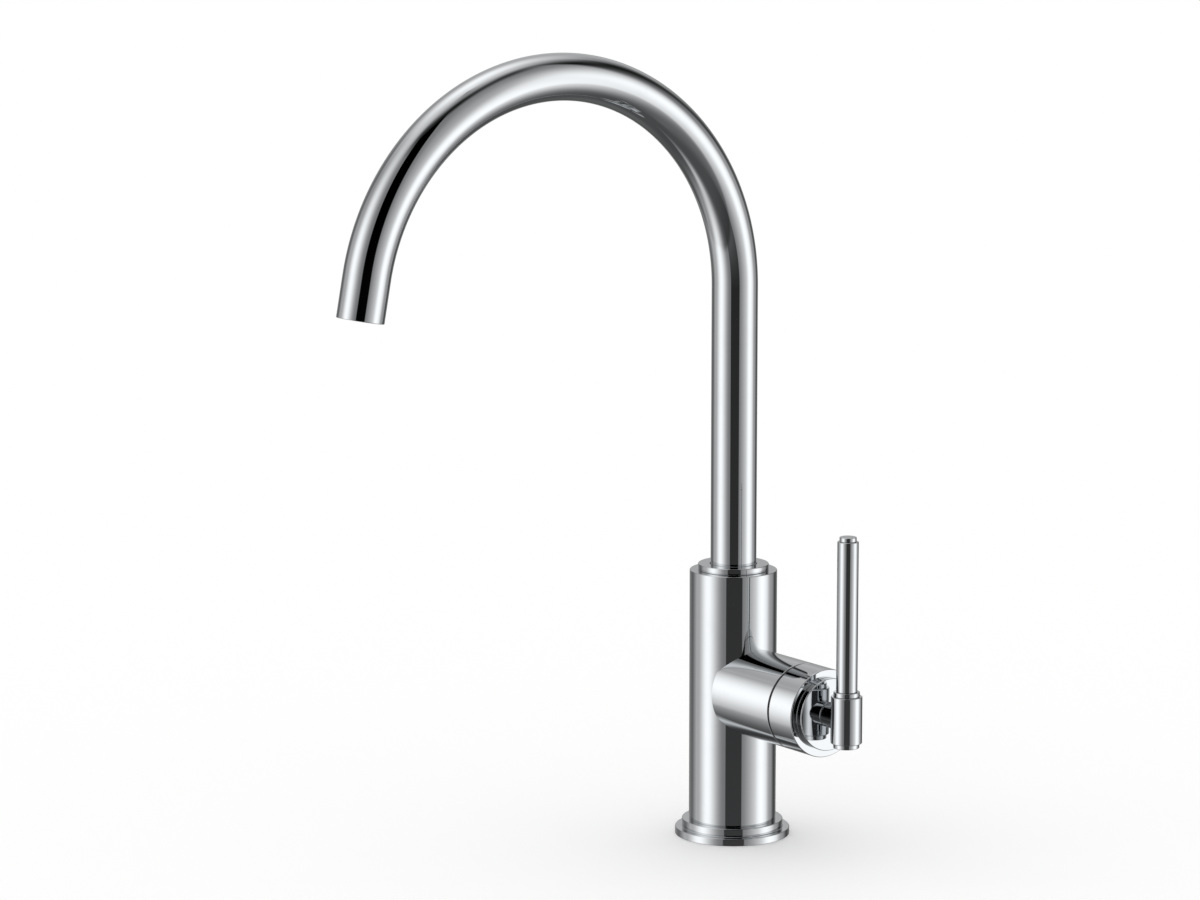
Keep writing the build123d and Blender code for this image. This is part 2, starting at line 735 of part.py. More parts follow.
with BuildPart() as handle_cap:
    with BuildSketch(handle_plane.offset(cap_start)):
        Circle(housing_radius)
    extrude(amount=cap_length)
    chamfer(handle_cap.edges().filter_by(GeomType.CIRCLE), bevel)
    with BuildSketch(handle_plane.offset(cap_start - cap_pilot_length)):
        Circle(cap_pilot_radius)
    extrude(amount=cap_pilot_length)
    with BuildSketch(handle_plane.offset(cap_start - cap_pilot_length)):
        Circle(cap_bore_radius)
    extrude(amount=cap_bore_end - cap_start + cap_pilot_length, mode=Mode.SUBTRACT)
    with BuildSketch(handle_plane.offset(boss_start)):
        Circle(cap_boss_radius)
    extrude(amount=cap_bore_end - boss_start)
    with BuildSketch(handle_plane.offset(boss_start)):
        Rectangle(spindle_square + 2 * seat_fit, spindle_square + 2 * seat_fit)
    extrude(amount=spindle_end - boss_start + chamber_clearance, mode=Mode.SUBTRACT)
    with BuildSketch(handle_plane.offset(boss_start)):
        Circle(screw_radius + chamber_clearance)
    extrude(amount=cap_end - boss_start, mode=Mode.SUBTRACT)
    with BuildSketch(handle_plane.offset(screw_seat_x)):
        Circle(screw_head_radius + chamber_clearance)
    extrude(amount=cap_end - screw_seat_x, mode=Mode.SUBTRACT)
    with BuildSketch(handle_plane.offset(cap_end - face_spigot_length)):
        Circle(face_spigot_radius + seat_fit)
    extrude(amount=face_spigot_length, mode=Mode.SUBTRACT)
handle_cap.part.label = "handle_cap"

with BuildPart() as handle_screw:
    with BuildSketch(handle_plane.offset(spindle_end - screw_engagement)):
        Circle(screw_radius)
    extrude(amount=screw_seat_x - spindle_end + screw_engagement)
    with BuildSketch(handle_plane.offset(screw_seat_x)):
        Circle(screw_head_radius)
    extrude(amount=screw_head_height)
    with BuildSketch(handle_plane.offset(screw_seat_x + screw_head_height)):
        RegularPolygon(screw_key, 6)
    extrude(amount=-screw_key, mode=Mode.SUBTRACT)
handle_screw.part.label = "handle_screw"

with BuildPart() as face_disc:
    with BuildSketch(handle_plane.offset(cap_end)):
        Circle(face_disc_radius)
    extrude(amount=face_disc_height)
    chamfer(face_disc.edges().group_by(Axis.X)[-1], bevel)
    with BuildSketch(handle_plane.offset(cap_end)):
        Circle(face_spigot_radius)
    extrude(amount=-face_spigot_length)
    with BuildSketch(handle_plane.offset(disc_face_x)):
        Circle(stem_thread_radius + seat_fit)
    extrude(amount=-face_disc_height - face_spigot_length, mode=Mode.SUBTRACT)
face_disc.part.label = "face_disc"

with BuildPart() as lever_stem:
    with BuildSketch(handle_plane.offset(disc_face_x)):
        Circle(stem_radius)
    extrude(amount=hub_axis_x + stem_entry - disc_face_x)
    chamfer(lever_stem.edges().group_by(Axis.X)[-1], small_bevel)
    with BuildSketch(handle_plane.offset(disc_face_x)):
        Circle(stem_thread_radius)
    extrude(amount=-stem_thread_length)
lever_stem.part.label = "lever_stem"

with BuildPart() as lever_hub:
    with BuildSketch(hub_plane.offset(hub_low)):
        Circle(hub_radius)
    extrude(amount=hub_height)
    chamfer(lever_hub.edges().filter_by(GeomType.CIRCLE), bevel)
    with BuildSketch(handle_plane.offset(disc_face_x)):
        Circle(stem_radius + seat_fit)
    extrude(amount=hub_axis_x + stem_entry + seat_fit - disc_face_x, mode=Mode.SUBTRACT)
    with BuildSketch(hub_plane.offset(hub_low)):
        Circle(rod_thread_radius + seat_fit)
    extrude(amount=hub_height, mode=Mode.SUBTRACT)
lever_hub.part.label = "lever_hub"

with BuildPart() as rod_collar:
    with BuildSketch(hub_plane.offset(hub_high)):
        Circle(hub_ring_radius)
    extrude(amount=hub_ring_height)
    chamfer(rod_collar.edges().group_by(Axis.Z)[-1], small_bevel)
    with BuildSketch(hub_plane.offset(hub_high)):
        Circle(rod_thread_radius + seat_fit)
    extrude(amount=hub_ring_height, mode=Mode.SUBTRACT)
rod_collar.part.label = "rod_collar"

with BuildPart() as hub_plug:
    with BuildSketch(hub_plane.offset(hub_low)):
        Circle(hub_ring_radius)
    extrude(amount=-hub_ring_height)
    chamfer(hub_plug.edges().group_by(Axis.Z)[0], small_bevel)
    with BuildSketch(hub_plane.offset(hub_low)):
        Circle(rod_thread_radius)
    extrude(amount=plug_peg_length)
hub_plug.part.label = "hub_plug"

with BuildPart() as stem_set_screw:
    with BuildSketch(hub_plane.offset(set_screw_z)):
        Circle(rod_thread_radius)
    extrude(amount=set_screw_length)
    with BuildSketch(hub_plane.offset(set_screw_z)):
        RegularPolygon(set_screw_key, 6)
    extrude(amount=set_screw_key, mode=Mode.SUBTRACT)
stem_set_screw.part.label = "stem_set_screw"

with BuildPart() as lever_rod:
    with BuildSketch(hub_plane.offset(rod_foot)):
        Circle(rod_radius)
    extrude(amount=rod_length)
    chamfer(lever_rod.edges().group_by(Axis.Z)[-1], bevel)
    with BuildSketch(hub_plane.offset(rod_foot)):
        Circle(rod_thread_radius)
    extrude(amount=-rod_thread_length)
    with BuildSketch(hub_plane.offset(rod_top)):
        Circle(tip_peg_radius + seat_fit)
    extrude(amount=-tip_peg_length - seat_fit, mode=Mode.SUBTRACT)
lever_rod.part.label = "lever_rod"

with BuildPart() as lever_tip:
    with BuildSketch(hub_plane.offset(rod_top)):
        Circle(tip_radius)
    extrude(amount=tip_height)
    chamfer(lever_tip.edges().group_by(Axis.Z)[-1], small_bevel)
    with BuildSketch(hub_plane.offset(rod_top)):
        Circle(tip_peg_radius)
    extrude(amount=-tip_peg_length)
lever_tip.part.label = "lever_tip"

# ---------------------------------------------------------------- export

pieces = [
    base_flange,
    base_gasket,
    inlet_block,
    inlet_seals,
    body_tube,
    body_core,
    side_housing,
    top_collar,
    spout_slide_ring,
    swivel_stop_ring,
    filter_spigot,
    filter_o_ring,
    spout_tail,
    tail_o_rings,
    spout_tube,
    filter_tube,
    outlet_seat_ring,
    aerator_seal,
    aerator_housing,
    aerator_insert,
    filter_nozzle,
    cartridge_base,
    cartridge_seals,
    fixed_disc,
    cartridge_shell,
    cartridge_nut,
    cap_slide_ring,
    moving_disc,
    disc_carrier,
    spindle,
    spindle_o_ring,
    handle_cap,
    handle_screw,
    face_disc,
    lever_stem,
    lever_hub,
    rod_collar,
    hub_plug,
    stem_set_screw,
    lever_rod,
    lever_tip,
]
os.makedirs("parts", exist_ok=True)
for piece in pieces:
    export_step(piece.part, f"parts/{piece.part.label}.step")
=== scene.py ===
"""Looks of the three-way kitchen tap: plated finishes, studio, floor and camera.

Same frame as the model, in metres: +Z up from the deck, spout along -Y, lever on the +X side.
"""

import bpy
import json
from math import cos, pi, radians, sin, tan
from mathutils import Matrix, Vector


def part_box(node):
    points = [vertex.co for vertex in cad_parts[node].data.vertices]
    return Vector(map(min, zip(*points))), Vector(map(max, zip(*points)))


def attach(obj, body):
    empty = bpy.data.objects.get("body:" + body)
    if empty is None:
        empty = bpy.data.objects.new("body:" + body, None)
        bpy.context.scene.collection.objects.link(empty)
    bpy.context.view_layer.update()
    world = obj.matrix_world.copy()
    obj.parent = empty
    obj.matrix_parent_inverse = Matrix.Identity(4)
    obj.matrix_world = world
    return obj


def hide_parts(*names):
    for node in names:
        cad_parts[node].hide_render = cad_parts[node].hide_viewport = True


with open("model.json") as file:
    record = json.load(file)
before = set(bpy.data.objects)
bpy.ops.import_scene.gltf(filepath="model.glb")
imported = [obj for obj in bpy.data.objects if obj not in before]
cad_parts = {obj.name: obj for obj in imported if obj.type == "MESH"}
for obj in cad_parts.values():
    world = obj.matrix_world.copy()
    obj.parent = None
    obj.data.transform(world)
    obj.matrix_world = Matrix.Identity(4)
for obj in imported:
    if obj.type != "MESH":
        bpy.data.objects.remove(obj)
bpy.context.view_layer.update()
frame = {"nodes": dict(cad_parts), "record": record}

MM = 0.001
WHITE = (1.0, 1.0, 1.0, 1.0)


def add_object(name, data):
    """Puts a mesh, light or camera in the scene."""
    thing = bpy.data.objects.new(name, data)
    bpy.context.scene.collection.objects.link(thing)
    return thing


# ---------------------------------------------------------------- camera

CAMERA_PLACE = Vector((1.7140, -1.2999, 0.5577))
CAMERA_PITCH = radians(9.758)  # downwards
CAMERA_TURN = radians(54.53)  # from looking along +Y, anticlockwise seen from above
CAMERA_LENS = 136.88  # mm
CAMERA_SENSOR = 36.0  # mm wide
CAMERA_CLIP = (0.05, 100.0)  # metres, nearest and farthest


def make_camera():
    data = bpy.data.cameras.new("photo_camera")
    data.lens = CAMERA_LENS
    data.sensor_width = CAMERA_SENSOR
    data.clip_start, data.clip_end = CAMERA_CLIP
    camera = add_object("photo_camera", data)
    camera.location = CAMERA_PLACE
    camera.rotation_euler = (pi / 2 - CAMERA_PITCH, 0.0, CAMERA_TURN)
    bpy.context.scene.camera = camera


# ---------------------------------------------------------------- node helpers


class Nodes:
    """Short names for adding and joining shader nodes of one tree."""

    def __init__(self, tree):
        self.tree = tree
        self.tree.nodes.clear()

    def add(self, kind, **settings):
        node = self.tree.nodes.new(kind)
        for key, value in settings.items():
            setattr(node, key, value)
        return node

    def link(self, output, socket):
        self.tree.links.new(output, socket)

    def put(self, value, socket):
        """Joins an output to a socket, or writes a plain value in it."""
        if isinstance(value, bpy.types.NodeSocket):
            self.link(value, socket)
        else:
            socket.default_value = value

    def math(self, operation, *values):
        node = self.add("ShaderNodeMath", operation=operation)
        for value, socket in zip(values, node.inputs):
            self.put(value, socket)
        return node.outputs[0]

    def dot(self, a, b):
        node = self.add("ShaderNodeVectorMath", operation="DOT_PRODUCT")
        self.put(a, node.inputs[0])
        self.put(b, node.inputs[1])
        return node.outputs["Value"]

    def fade(self, value, start, end, low=0.0, high=1.0):
        """Goes smoothly from low at start to high at end."""
        node = self.add("ShaderNodeMapRange", interpolation_type="SMOOTHSTEP")
        for item, socket in zip((value, start, end, low, high), node.inputs):
            self.put(item, socket)
        return node.outputs[0]

    def blend(self, share, a, b):
        node = self.add("ShaderNodeMix", data_type="FLOAT")
        self.put(share, node.inputs[0])
        self.put(a, node.inputs[2])
        self.put(b, node.inputs[3])
        return node.outputs[0]

    def is_mirrored(self):
        """1 for what is seen in a mirror or through glass."""
        rays = self.add("ShaderNodeLightPath").outputs
        return self.math("MAXIMUM", rays["Is Glossy Ray"], rays["Is Transmission Ray"])


# ---------------------------------------------------------------- studio

# The studio as the plated metal sees it. Directions are in degrees from the photographer's
# side: azimuth 0 is towards the photographer and grows to the right, elevation is from the
# horizon. Each row is painted over the ones before it:
# name, azimuth, elevation, half width, half height, soft width, soft height, tone
WALL_TONE = 0.442
GROUND_TONE = 0.28
STUDIO = (
    ("ground", 0, -90, 200, 65.5, 2, 4, GROUND_TONE),
    ("ceiling_box", 201, 112, 60, 64, 115, 53, 1.08),
    ("left_box", -72, -2, 25, 57, 49, 86, 0.97),
    ("right_box", 81, -6, 31, 36, 68, 53, 0.99),
    ("back_box", 191, 19, 50, 1, 2.6, 106, 0.84),
    ("back_right_shade", 141, -2, 3, 19, 85, 15, 0.06),
    ("right_flag", 126, 27, 13, 16, 52, 25, 0.0),
    ("back_left_shade", -135, 7, 10, 24, 68, 19, 0.22),
    ("upper_right_flag", 114, 49, 19, 10, 12.5, 33, 0.0),
    ("left_fill", -113, -9, 6, 39, 49, 39, 0.73),
    ("high_fill", 128, 74, 7, 28, 56, 14, 0.62),
    ("top_flag", 28, 65, 67, 6, 37, 17.5, 0.0),
    ("zenith", -156, 91, 153, 19, 150, 55, 0.80),
    ("right_grey_card", 51, 19, 14, 8, 15.5, 120, 0.56),
    ("right_edge_card", 119, 1, 10, 22, 22, 42, 0.57),
    ("left_ground_shade", -113, -75, 26, 17, 19, 31, 0.27),
    ("right_ground_glow", 41, -48, 11, 21, 50, 11, 0.38),
    ("left_ground_glow", -67, -56, 8, 9, 34, 30, 0.80),
    ("back_ground_glow", -176, -51, 26, 13, 38.5, 14.5, 0.34),
    ("front_flag", 1.5, 28, 19.5, 33, 2.0, 6.0, 0.0),
    ("front_foot", 1.2, -2, 21.3, 16, 2.0, 63, 0.06),
)
HORIZON, HORIZON_FADE = -25.5, 2  # degrees: where the ground ends, and over how much below it
GROUND_SHADE = 0.06  # how far every tone below the horizon moves to the ground's
TONE_GAMMA = 2.2  # from the tones above, as a picture holds them, to light
METAL_GAIN = 1.58  # makes up for what the plating absorbs
SOFT_LEVEL = 1.0  # of the even light on everything that doesn't mirror the studio


def studio_tone(n):
    """The tone of the studio in the direction that the world is looked at."""
    direction = n.add("ShaderNodeTexCoord").outputs["Generated"]
    front = n.dot(direction, (sin(CAMERA_TURN), -cos(CAMERA_TURN), 0.0))
    right = n.dot(direction, (cos(CAMERA_TURN), sin(CAMERA_TURN), 0.0))
    up = n.dot(direction, (0.0, 0.0, 1.0))
    azimuth = n.math("ARCTAN2", right, front)
    elevation = n.math("ARCSINE", up)
    tone = WALL_TONE
    for _, turn, rise, half_width, half_height, soft_width, soft_height, level in STUDIO:
        across = n.math("SUBTRACT", azimuth, radians(turn))
        across = n.math("ABSOLUTE", n.math("WRAP", across, pi, -pi))
        along = n.math("ABSOLUTE", n.math("SUBTRACT", elevation, radians(rise)))
        masks = [
            n.fade(distance, radians(half - soft / 2), radians(half + soft / 2), 1.0, 0.0)
            for distance, half, soft in (
                (across, half_width, soft_width),
                (along, half_height, soft_height),
            )
        ]
        tone = n.blend(n.math("MULTIPLY", *masks), tone, level)
    ground_start, ground_full = radians(HORIZON), radians(HORIZON - HORIZON_FADE)
    below = n.fade(elevation, ground_start, ground_full, 0.0, GROUND_SHADE)
    return n.blend(below, tone, GROUND_TONE)


def make_world():
    """White to the camera, the studio to mirrors, and even light to everything else."""
    world = bpy.data.worlds.new("studio")
    bpy.context.scene.world = world
    world.use_nodes = True
    n = Nodes(world.node_tree)
    mirrored = n.math("MULTIPLY", n.math("POWER", studio_tone(n), TONE_GAMMA), METAL_GAIN)
    is_camera = n.add("ShaderNodeLightPath").outputs["Is Camera Ray"]
    strength = n.blend(n.is_mirrored(), SOFT_LEVEL, mirrored)
    strength = n.blend(is_camera, strength, 1.0)
    background = n.add("ShaderNodeBackground")
    background.inputs["Color"].default_value = WHITE
    n.link(strength, background.inputs["Strength"])
    output = n.add("ShaderNodeOutputWorld")
    n.link(background.outputs[0], output.inputs["Surface"])
    world.cycles.sampling_method = "NONE"  # each ray meets the studio as its own kind


STRIP_AIM = 40  # mm along the handle's axis, where the strip light points
STRIP_DISTANCE = 2.0  # metres from there
STRIP_TURN, STRIP_RISE = -107, 5  # its direction, as in the list above
STRIP_WIDTH, STRIP_HEIGHT = 50, 72  # degrees, with its soft edges
STRIP_LEVEL = 0.76  # at its middle, where white is 1
WHITE_POWER = 4.0  # watts per square metre that make an area light as bright as white


def towards(turn, rise):
    """A direction given by azimuth from the photographer's side and elevation, in degrees."""
    level = cos(radians(rise))
    angle = radians(turn) + CAMERA_TURN - pi / 2
    return Vector((level * cos(angle), level * sin(angle), sin(radians(rise))))


def shade_strip_light(data):
    """Fades the strip light from its middle to its edges."""
    data.use_nodes = True
    n = Nodes(data.node_tree)
    spot = n.add("ShaderNodeSeparateXYZ")
    n.link(n.add("ShaderNodeNewGeometry").outputs["Parametric"], spot.inputs[0])
    masks = [
        n.fade(n.math("ABSOLUTE", n.math("SUBTRACT", value, 0.5)), 0.0, 0.5, 1.0, 0.0)
        for value in spot.outputs[:2]
    ]
    glow = n.add("ShaderNodeEmission")
    level = n.math("MULTIPLY", n.math("MULTIPLY", *masks), STRIP_LEVEL)
    n.link(level, glow.inputs["Strength"])
    n.link(glow.outputs[0], n.add("ShaderNodeOutputLight").inputs["Surface"])


def make_strip_light(name, *lit):
    """A soft strip light that shows in the handle's housing and cap alone."""
    data = bpy.data.lights.new(name, "AREA")
    data.shape = "RECTANGLE"
    data.size = 2 * STRIP_DISTANCE * tan(radians(STRIP_WIDTH / 2))
    data.size_y = 2 * STRIP_DISTANCE * tan(radians(STRIP_HEIGHT / 2))
    data.energy = WHITE_POWER * data.size * data.size_y
    shade_strip_light(data)
    light = add_object(name, data)
    away = towards(STRIP_TURN, STRIP_RISE)
    light.location = Vector((STRIP_AIM, 0.0, HANDLE_Z)) * MM + away * STRIP_DISTANCE
    light.rotation_euler = away.to_track_quat("Z", "Y").to_euler()
    light.visible_camera = False
    light.visible_diffuse = False
    receivers = bpy.data.collections.new(name + "_lit")
    for piece in lit:
        receivers.objects.link(piece)
    light.light_linking.receiver_collection = receivers


# ---------------------------------------------------------------- materials


def new_material(name):
    material = bpy.data.materials.new(name)
    material.use_nodes = True
    return material, Nodes(material.node_tree)


def show_surface(n, shader):
    n.link(shader.outputs[0], n.add("ShaderNodeOutputMaterial").inputs["Surface"])


def principled(name, metal=0.0):
    material, n = new_material(name)
    shader = n.add("ShaderNodeBsdfPrincipled")
    shader.inputs["Metallic"].default_value = metal
    show_surface(n, shader)
    return material, n, shader


def place(n, stretch=(1.0, 1.0, 1.0), turn=(0.0, 0.0, 0.0)):
    """Where a point lies on its own piece, in metres, stretched for a directional texture."""
    mapping = n.add("ShaderNodeMapping")
    n.link(n.add("ShaderNodeTexCoord").outputs["Object"], mapping.inputs["Vector"])
    mapping.inputs["Rotation"].default_value = turn
    mapping.inputs["Scale"].default_value = stretch
    return mapping.outputs[0]


def noise(n, size, detail=3.0, rough=0.55, where=None):
    """Soft blotches about size millimetres across, from 0 to 1."""
    node = n.add("ShaderNodeTexNoise")
    n.link(where if where is not None else place(n), node.inputs["Vector"])
    node.inputs["Scale"].default_value = 1.0 / (size * MM)
    node.inputs["Detail"].default_value = detail
    node.inputs["Roughness"].default_value = rough
    return node.outputs[0]


SCRATCH_STRETCH = (0.03, 1.0, 1.0)  # draws the noise out to long streaks
SCRATCH_WIDTH = 0.006  # of the noise's range to each side of its middle
SCRATCH_PATCH = 9  # size of the scratched patches against the scratches


def scratches(n, size, turn):
    """Thin broken lines, 1 in a scratch and 0 beside it."""
    value = noise(n, size, 2.0, 0.5, place(n, SCRATCH_STRETCH, turn))
    near = n.math("ABSOLUTE", n.math("SUBTRACT", value, 0.5))
    line = n.fade(near, 0.0, SCRATCH_WIDTH, 1.0, 0.0)
    return n.math("MULTIPLY", line, n.fade(noise(n, size * SCRATCH_PATCH), 0.5, 0.62))


def tint(n, share, low, high, shader):
    """Colours the shader from low to high by share."""
    mix = n.add("ShaderNodeMix", data_type="RGBA")
    n.put(share, mix.inputs[0])
    mix.inputs[6].default_value = (*low, 1.0)
    mix.inputs[7].default_value = (*high, 1.0)
    n.link(mix.outputs[2], shader.inputs["Base Color"])


def roughen(n, share, low, high, shader):
    """Sets the shader's roughness from low to high by share."""
    n.link(n.fade(share, 0.0, 1.0, low, high), shader.inputs["Roughness"])


def relief(n, height, depth, shader):
    """Bump whose height of 1 stands depth millimetres proud."""
    bump = n.add("ShaderNodeBump")
    bump.inputs["Strength"].default_value = 1.0
    bump.inputs["Distance"].default_value = depth * MM
    n.link(height, bump.inputs["Height"])
    n.link(bump.outputs[0], shader.inputs["Normal"])


PLATE_ROUGHNESS = 0.03
MARK_ROUGHNESS, HAIRLINE_ROUGHNESS = 0.022, 0.05  # what they add to it


def chrome_plate():
    """Bright plating: faint water marks, hairline polishing scratches, long soft waviness."""
    clean, dulled = (0.642, 0.658, 0.672), (0.622, 0.638, 0.653)
    material, n, shader = principled("chrome_plate", metal=1.0)
    marks = n.fade(noise(n, 14.0, 5.0, 0.62), 0.5, 0.72)
    fine = scratches(n, 1.6, (0.4, 0.2, 0.9))
    coarse = scratches(n, 2.1, (1.1, 0.7, -0.5))
    hairlines = n.math("MAXIMUM", fine, coarse)
    tint(n, marks, clean, dulled, shader)
    marks_wear = n.math("MULTIPLY", marks, MARK_ROUGHNESS)
    wear = n.math("ADD", marks_wear, n.math("MULTIPLY", hairlines, HAIRLINE_ROUGHNESS))
    n.link(n.math("ADD", wear, PLATE_ROUGHNESS), shader.inputs["Roughness"])
    relief(n, noise(n, 9.0, 1.0, 0.4), 0.004, shader)
    return material


TOOL_FEED, TOOL_DEPTH = 0.35, 0.006  # mm, of the turning marks on brass
THREAD_PITCH, THREAD_DEPTH = 1.0, 0.072  # mm, of the threads that are only shaded


def bare_brass():
    """Turned brass: tool rings on level faces, a thread on upright ones, oxide in patches."""
    clean, oxidised = (0.83, 0.65, 0.36), (0.66, 0.49, 0.25)
    material, n, shader = principled("bare_brass", metal=1.0)
    oxide = n.fade(noise(n, 5.0, 5.0, 0.6), 0.42, 0.7)
    tint(n, oxide, clean, oxidised, shader)
    roughen(n, oxide, 0.22, 0.42, shader)
    where = n.add("ShaderNodeSeparateXYZ")
    n.link(n.add("ShaderNodeTexCoord").outputs["Object"], where.inputs[0])
    x, y, z = where.outputs
    radius = n.math("SQRT", n.math("ADD", n.math("MULTIPLY", x, x), n.math("MULTIPLY", y, y)))
    turning = n.math("SINE", n.math("MULTIPLY", radius, 2 * pi / (TOOL_FEED * MM)))
    facing = n.add("ShaderNodeSeparateXYZ")
    n.link(n.add("ShaderNodeNewGeometry").outputs["True Normal"], facing.inputs[0])
    level = n.math("ABSOLUTE", facing.outputs[2])
    thread = n.math("SINE", n.math("MULTIPLY", z, 2 * pi / (THREAD_PITCH * MM)))
    thread = n.math("MULTIPLY", thread, THREAD_DEPTH / TOOL_DEPTH)
    height = n.blend(n.fade(level, 0.3, 0.7), thread, turning)
    relief(n, height, TOOL_DEPTH, shader)
    return material


def rubber_seal():
    """Black moulded rubber with a dusty bloom and a fine pebble."""
    black, dusty = (0.022, 0.022, 0.024), (0.05, 0.05, 0.052)
    material, n, shader = principled("rubber_seal")
    bloom = n.fade(noise(n, 3.0, 5.0, 0.65), 0.45, 0.75)
    tint(n, bloom, black, dusty, shader)
    roughen(n, bloom, 0.5, 0.72, shader)
    relief(n, noise(n, 0.25, 3.0), 0.02, shader)
    return material


SATIN_RANGE = 0.12  # between the smoothest and the roughest places of a moulded skin


def moulded(name, low, high, roughness, grain):
    """Moulded plastic: slight flow marks in its colour, satin skin and a fine spark grain."""
    material, n, shader = principled(name)
    flow = n.fade(noise(n, 6.0, 3.0, 0.5, place(n, (1.0, 1.0, 0.35))), 0.35, 0.7)
    tint(n, flow, low, high, shader)
    satin = n.fade(noise(n, 1.5, 4.0), 0.3, 0.7, roughness, roughness + SATIN_RANGE)
    n.link(satin, shader.inputs["Roughness"])
    relief(n, noise(n, 0.3, 2.0), grain, shader)
    return material


def white_acetal():
    low, high = (0.83, 0.83, 0.80), (0.78, 0.78, 0.74)
    return moulded("white_acetal", low, high, roughness=0.32, grain=0.006)


def black_acetal():
    low, high = (0.012, 0.012, 0.013), (0.02, 0.02, 0.021)
    return moulded("black_acetal", low, high, roughness=0.4, grain=0.006)


def grey_plastic():
    low, high = (0.46, 0.47, 0.48), (0.40, 0.41, 0.43)
    return moulded("grey_plastic", low, high, roughness=0.34, grain=0.008)


def clear_tube():
    """Milky clear hose: thin cloudiness and a slight unevenness."""
    clear, cloudy = (0.74, 0.78, 0.82), (0.66, 0.71, 0.75)
    material, n, shader = principled("clear_tube")
    cloud = n.fade(noise(n, 4.0, 4.0), 0.4, 0.7)
    tint(n, cloud, clear, cloudy, shader)
    roughen(n, cloud, 0.16, 0.3, shader)
    shader.inputs["Transmission Weight"].default_value = 0.6
    relief(n, noise(n, 0.8, 2.0), 0.01, shader)
    return material


def ceramic():
    """Lapped alumina: cream, speckled with fine pores, with a grinding sheen."""
    cream, pored = (0.89, 0.88, 0.85), (0.74, 0.72, 0.68)
    material, n, shader = principled("ceramic")
    pores = n.fade(noise(n, 0.35, 2.0), 0.62, 0.72)
    tint(n, pores, cream, pored, shader)
    n.link(n.fade(noise(n, 2.0), 0.3, 0.7, 0.12, 0.26), shader.inputs["Roughness"])
    relief(n, pores, -0.01, shader)
    return material


def steel_screw():
    """Stainless screw: fine drawn lines, a dull oxide in patches."""
    bright, dulled = (0.60, 0.60, 0.61), (0.46, 0.46, 0.48)
    material, n, shader = principled("steel_screw", metal=1.0)
    dull = n.fade(noise(n, 1.5, 4.0), 0.4, 0.7)
    tint(n, dull, bright, dulled, shader)
    roughen(n, dull, 0.2, 0.4, shader)
    relief(n, noise(n, 0.2, 2.0, 0.5, place(n, (0.1, 1.0, 1.0))), 0.01, shader)
    return material


def make_finishes():
    """Every finish by the name of its slot."""
    return {
        "chrome_plate": chrome_plate(),
        "bare_brass": bare_brass(),
        "rubber_seal": rubber_seal(),
        "white_acetal": white_acetal(),
        "black_acetal": black_acetal(),
        "grey_plastic": grey_plastic(),
        "clear_tube": clear_tube(),
        "ceramic": ceramic(),
        "steel_screw": steel_screw(),
    }


# ---------------------------------------------------------------- turned pieces

TURN_STEPS = 256  # round a turned piece
TUBE_STEPS = 160  # round the spout's tube
DRILL_STEPS = 48  # round a small hole
FILLET_STEPS = 6  # in a rounding
ARCH_STEPS = 200  # along the spout's arch


class Axis:
    """A straight axis that a piece is turned about; lengths in millimetres."""

    def __init__(self, origin, across, along):
        self.origin = Vector(origin)
        self.along = Vector(along).normalized()
        self.u = Vector(across).normalized()
        self.v = self.along.cross(self.u)

    def at(self, distance):
        """Place and directions at a distance along the axis."""
        return self.origin + self.along * distance, self.u, self.v, self.along


def rounded(outline):
    """Points of an outline with its corners rounded, and whether its ends lie on the axis.

    The outline lists (distance along the axis, radius, rounding) clockwise round the metal.
    Each returned point is (along, radius, normal before it, normal after it).
    """
    points = []
    count = len(outline)
    on_axis = outline[0][1] == 0 and outline[-1][1] == 0
    for index, (along, radius, rounding) in enumerate(outline):
        here = Vector((along, radius))
        before = here - Vector(outline[index - 1][:2])
        after = Vector(outline[(index + 1) % count][:2]) - here
        if on_axis and index == 0:
            before = after
        if on_axis and index == count - 1:
            after = before
        before.normalize()
        after.normalize()
        normal_in = Vector((-before.y, before.x))
        normal_out = Vector((-after.y, after.x))
        if rounding == 0:
            points.append((along, radius, normal_in, normal_out))
            continue
        turn = before.angle_signed(after)
        reach = rounding * abs(tan(turn / 2))
        start = here - before * reach
        side = 1 if turn > 0 else -1
        centre = start - normal_in * rounding * side
        for step in range(FILLET_STEPS + 1):
            normal = normal_in.copy()
            normal.rotate(Matrix.Rotation(-turn * step / FILLET_STEPS, 2))
            spot = centre + normal * rounding * side
            points.append((spot.x, spot.y, normal, normal))
    return points, on_axis


def turned(name, axis, outline, steps=TURN_STEPS, phase=0.0):
    """A mesh object turned from an outline."""
    points, on_axis = rounded(outline)
    return sweep(name, axis, points, on_axis, steps, phase)


